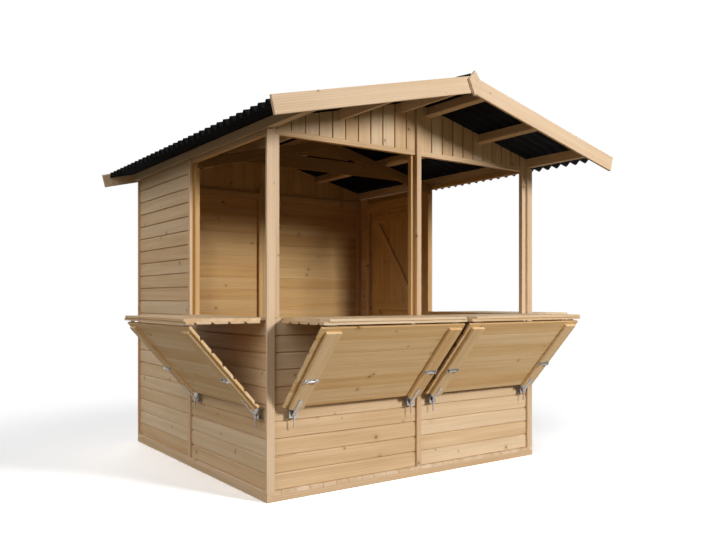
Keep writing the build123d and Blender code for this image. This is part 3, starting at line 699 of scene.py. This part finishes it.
rafter_low, rafter_high = box("truss_rafters")
tie_line = PURLIN_LINE - TOUCH
made = Timber()
for side in (-1, 1):
    cuts = [(X * side * TOUCH, -X * side), (X * side * rafter_high.x, X * side)]
    origin = Vector((0, rafter_low.y, tie_line))
    sloping(made, side, origin, eased(RAFTER_H, RAFTER_W, EASE), (-0.1, 1.3), cuts)
made.build("rafters", "truss_painted_shade", ["truss_rafters"])

# the tie, and a short board over it that leaves a slit between the two
tie_low, tie_high = box("truss_tie")
made = Timber()
made.beam(tie_low, tie_high + Z * TIE_RISE, EASE, roof_cuts(tie_line))
upper_low = (-UPPER_TIE_HALF, tie_low.y, tie_high.z + UPPER_TIE_RISE)
made.beam(upper_low, (UPPER_TIE_HALF, tie_high.y, PURLIN_LINE), EASE, roof_cuts(tie_line))
made.build("tie_board", "truss_painted_shade", ["truss_tie"])

for node, title in (("front_bargeboards", "front_barges"), ("back_bargeboards", "back_barges")):
    low, high = box(node)
    made = Timber()
    for side in (-1, 1):
        section = eased(BARGE_H, high.y - low.y, 0.0025)
        cuts = [(X * side * BARGE_MITRE, -X * side)]
        span = (-0.1, high.x / math.cos(PITCH))
        sloping(made, side, Vector((0, low.y, high.z)), section, span, cuts)
    made.build(title, "roof", [node])

# ---------------------------------------------------------------- roof sheets
sheet_low, sheet_high = box("roof_sheet_right")
sheet_len = sheet_high.y - sheet_low.y
sheet_reach = (HALF_W + SHEET_OVERHANG - SHEET_RIDGE_GAP) / math.cos(PITCH)
total = WAVES * STEPS
for side, node, title in (
    (-1, "roof_sheet_left", "sheet_left"),
    (1, "roof_sheet_right", "sheet_right"),
):
    run, up = slope_axes(side)
    start_z = SHEET_LINE - SHEET_RIDGE_GAP * SLOPE
    start = Vector((side * SHEET_RIDGE_GAP, box(node)[0].y, start_z))
    top = SEAT + SHEET_T
    rows = [(0.0, SEAT), (0.0, top), (sheet_reach, top), (sheet_reach, SEAT)]
    points, faces = [], []
    for i in range(total + 1):
        wave = WAVE_R * (1 - math.cos(2 * math.pi * i / STEPS))
        for distance, level in rows:
            point = start + Y * (sheet_len * i / total) + run * distance + up * (level + wave)
            points.append(point[:])
    for i in range(total):
        for j in range(4):
            k = (j + 1) % 4
            faces.append((4 * i + j, 4 * i + k, 4 * i + 4 + k, 4 * i + 4 + j))
    faces += [(0, 3, 2, 1), (4 * total, 4 * total + 1, 4 * total + 2, 4 * total + 3)]
    mesh = bpy.data.meshes.new(title)
    mesh.from_pydata(points, [], faces)
    shape = bmesh.new()
    shape.from_mesh(mesh)
    bmesh.ops.recalc_face_normals(shape, faces=shape.faces[:])
    shape.to_mesh(mesh)
    shape.free()
    mesh.materials.append(MAT["bitumen"])
    piece = bpy.data.objects.new(title, mesh)
    bpy.context.collection.objects.link(piece)
    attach(piece, "stall")
    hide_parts(node)
    # the two corrugated sides are smooth, the cut edges flat
    for face in mesh.polygons:
        face.use_smooth = face.index < 4 * total and face.index % 4 in (1, 3)

# pieces whose CAD shape is shown as it is
for node, material in (
    ("ridge_cap", "bitumen"),
    ("hatch_hinges", "zinc"),
    ("hatch_bolts", "zinc"),
    ("hatch_hasps", "zinc"),
    ("hatch_brackets", "zinc"),
    ("door_straps", "zinc"),
    ("door_hinge_pins", "zinc"),
):
    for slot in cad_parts[node].material_slots:
        slot.link = "OBJECT"
        slot.material = MAT[material]

# apex plates: a kite of board in front of the meeting of the bargeboards
low, high = box("apex_plates")
made = Timber()
for y1, y2 in ((low.y, low.y + APEX_T), (high.y - APEX_T, high.y)):
    kite = [(-APEX_LOW, 0), (0, high.x), (APEX_HIGH, 0), (0, -high.x)]
    widest = Vector((0, y1, high.z - APEX_HIGH))
    made.prism(widest, Y, Z, (0, y2 - y1), mirrored(kite))
made.build("apex_boards", "roof", ["apex_plates"])

# ---------------------------------------------------------------- hatches
counter_high = box("front_left_counter")[1]
COUNTER_Z = counter_high.z
TOP_LOW = COUNTER_Z - TOP_T
FALL = math.acos((OUT - FLAP_IN - FLAP_FOOT) / FLAP_LEN)
hinge_z = COUNTER_Z - TOP_T - CLAD_T - SEAT - HINGE_R
FLAP_TOP = (OUT - FLAP_IN, hinge_z - HINGE_R - SEAT - CLAD_T * math.cos(FALL))
side_front = -box("left_counter")[0].y
# for each its right end seen from outside, the way out of the wall, and the way to its left end
HATCHES = {
    "front_left": (Vector((counter_high.x, -HALF_D, 0)), -Y, -X),
    "front_right": (Vector((box("front_right_counter")[1].x, -HALF_D, 0)), -Y, -X),
    "left": (Vector((-HALF_W, -side_front, 0)), -X, Y),
    "right": (Vector((HALF_W, HATCH_LEN - side_front, 0)), X, -Y),
}


def course_sections(total):
    """Shiplap sections laid side by side over a panel's width, from its lower edge."""
    place, laid = 0.0, []
    while place < total - SLIVER:
        end = min(COVER, total - place)
        section = shiplap(0, end, CLAD_T, COVER, HATCH_LAP, HATCH_COVE, HATCH_GROOVE)
        laid.append((place, section))
        place += COVER
    return laid


for key, (origin, out, run) in HATCHES.items():
    # counter boards, laid side by side
    made = Timber()
    flip = -1 if run.cross(out).z < 0 else 1
    wide = (OUT + LIP - COUNTER_START) / COUNTER_BOARDS
    for i in range(COUNTER_BOARDS):
        base = origin + out * (COUNTER_START + i * wide + HAIR) + Z * TOP_LOW
        section = [(p, q * flip) for p, q in eased(wide - 2 * HAIR, TOP_T, EASE)]
        made.prism(base, run, out, (RIGHT, HATCH_LEN - LEFT), section)
    # cladding of the hatch, on the underside of the counter
    for place, section in course_sections(OUT - CLAD_START):
        base = origin + out * (CLAD_START + place) + Z * (TOP_LOW - CLAD_T)
        made.prism(base, run, out, (0, HATCH_LEN), [(p, -q * flip) for p, q in section])
    made.build(key + "_counter_boards", "clad", [key + "_counter"])

    # the flap falls from the counter's outer edge back to the wall
    made = Timber()
    along = -out * math.cos(FALL) - Z * math.sin(FALL)
    face = out * math.sin(FALL) - Z * math.cos(FALL)
    corner = origin + out * FLAP_TOP[0] + Z * FLAP_TOP[1]
    flip = 1 if run.cross(along).dot(face) > 0 else -1
    for place, section in course_sections(FLAP_LEN):
        base = corner + along * place - face * CLAD_T
        made.prism(base, run, along, (0, HATCH_LEN), [(p, -q * flip) for p, q in section])
    flip = 1 if along.cross(face).dot(run) > 0 else -1
    for first in (BATTEN_RIGHT, HATCH_LEN - BATTEN_LEFT - BATTEN_W):
        base = corner + run * first
        section = [(p, q * flip) for p, q in eased(BATTEN_T, BATTEN_W, EASE)]
        made.prism(base, along, face, (BATTEN_TOP, FLAP_LEN), section)
    made.build(key + "_flap_boards", "hatch", [key + "_flap"])

# ---------------------------------------------------------------- stage
# The floor shades the stall like paving, and shows pale with a soft edge into white.
FLOOR_R = 60.0
corners = [(-FLOOR_R, -FLOOR_R), (FLOOR_R, -FLOOR_R), (FLOOR_R, FLOOR_R), (-FLOOR_R, FLOOR_R)]
floor_mesh = bpy.data.meshes.new("floor")
floor_mesh.from_pydata([(a, b, 0) for a, b in corners], [], [(0, 1, 2, 3)])
floor = bpy.data.objects.new("floor", floor_mesh)
bpy.context.collection.objects.link(floor)
net = Net(bpy.data.materials.new("studio_floor"))
place = net.add("TexCoord").outputs["Object"]
far = net.add("VectorMath", {"operation": "LENGTH"}, i0=place).outputs["Value"]
fade = net.span(far, 2.4, 4.2)
rays = net.add("LightPath").outputs
seen = net.math("MAXIMUM", rays["Is Camera Ray"], rays["Is Glossy Ray"])
seen = net.math("MAXIMUM", seen, rays["Is Transmission Ray"])
plain = net.add("BsdfDiffuse", Color=(0.21, 0.165, 0.10, 1))
pale = net.add("BsdfDiffuse", Color=(1.5, 1.53, 1.58, 1))
white = net.add("Emission", Color=(1, 1, 1, 1), Strength=1.0)
near = net.add("MixShader", i0=seen, i1=plain.outputs[0], i2=pale.outputs[0])
faded = net.math("MULTIPLY", fade, seen)
mixed = net.add("MixShader", i0=faded, i1=near.outputs[0], i2=white.outputs[0])
net.add("OutputMaterial", Surface=mixed.outputs[0])
floor_mesh.materials.append(net.owner)

world = bpy.data.worlds.new("studio")
bpy.context.scene.world = world
net = Net(world)
rays = net.add("LightPath").outputs
seen = net.math("MAXIMUM", rays["Is Camera Ray"], rays["Is Glossy Ray"])
soft = net.add("Background", Color=(0.95, 0.97, 1.0, 1), Strength=0.035)
bright = net.add("Background", Color=(1, 1, 1, 1), Strength=1.0)
blend = net.add("MixShader", i0=seen, i1=soft.outputs[0], i2=bright.outputs[0])
net.add("OutputWorld", Surface=blend.outputs[0])

# The key lamp stands near the stall. Linear falloff keeps the back wall from going dark.
KEY_PLACE = Vector((2.35, -8.07, 3.62))
KEY_AIM = Vector((0, 0, 1.2))
KEY_REACH = 7.2  # where it gives the strength below
KEY_STRENGTH = 3.0
key_data = bpy.data.lights.new("key", "AREA")
key_data.shape = "DISK"
key_data.size = 1.7
key_data.energy = KEY_STRENGTH * math.pi * KEY_REACH
key_data.color = (1.0, 0.98, 0.95)
net = Net(key_data)
falloff = net.add("LightFalloff", Strength=1.0)
emitter = net.add("Emission", Color=(1, 1, 1, 1), Strength=falloff.outputs["Linear"])
net.add("OutputLight", Surface=emitter.outputs[0])
key_lamp = bpy.data.objects.new("key", key_data)
key_lamp.location = KEY_PLACE
key_lamp.rotation_euler = (KEY_AIM - KEY_PLACE).to_track_quat("-Z", "Y").to_euler()
key_lamp.visible_camera = False
bpy.context.collection.objects.link(key_lamp)


def far_lamp(name, azimuth, elevation, strength, angle, colour):
    """A far lamp: azimuth in degrees from the front, to the right, and elevation."""
    data = bpy.data.lights.new(name, "SUN")
    data.energy = strength
    data.angle = math.radians(angle)
    data.color = colour
    lamp = bpy.data.objects.new(name, data)
    a, e = math.radians(azimuth), math.radians(elevation)
    toward = Vector((math.sin(a) * math.cos(e), -math.cos(a) * math.cos(e), math.sin(e)))
    lamp.rotation_euler = (-toward).to_track_quat("-Z", "Y").to_euler()
    bpy.context.collection.objects.link(lamp)


far_lamp("left_fill", -65, 38, 1.72, 60, (1.0, 0.99, 0.96))
far_lamp("rear_fill", 170, 35, 0.9, 50, (1.0, 1.0, 1.0))

# The camera's place, aim and lens were fitted to the photo.
camera_data = bpy.data.cameras.new("camera")
camera = bpy.data.objects.new("camera", camera_data)
bpy.context.collection.objects.link(camera)
camera.location = (-3.1715, -4.9002, 1.1973)
camera.rotation_euler = Vector((0.5798, 0.8148, 0)).to_track_quat("-Z", "Y").to_euler()
camera_data.lens = 36.37
camera_data.sensor_width = 36.0
camera_data.shift_y = 0.0407
camera_data.clip_end = 200
bpy.context.scene.camera = camera
bpy.context.scene.view_settings.view_transform = "Standard"
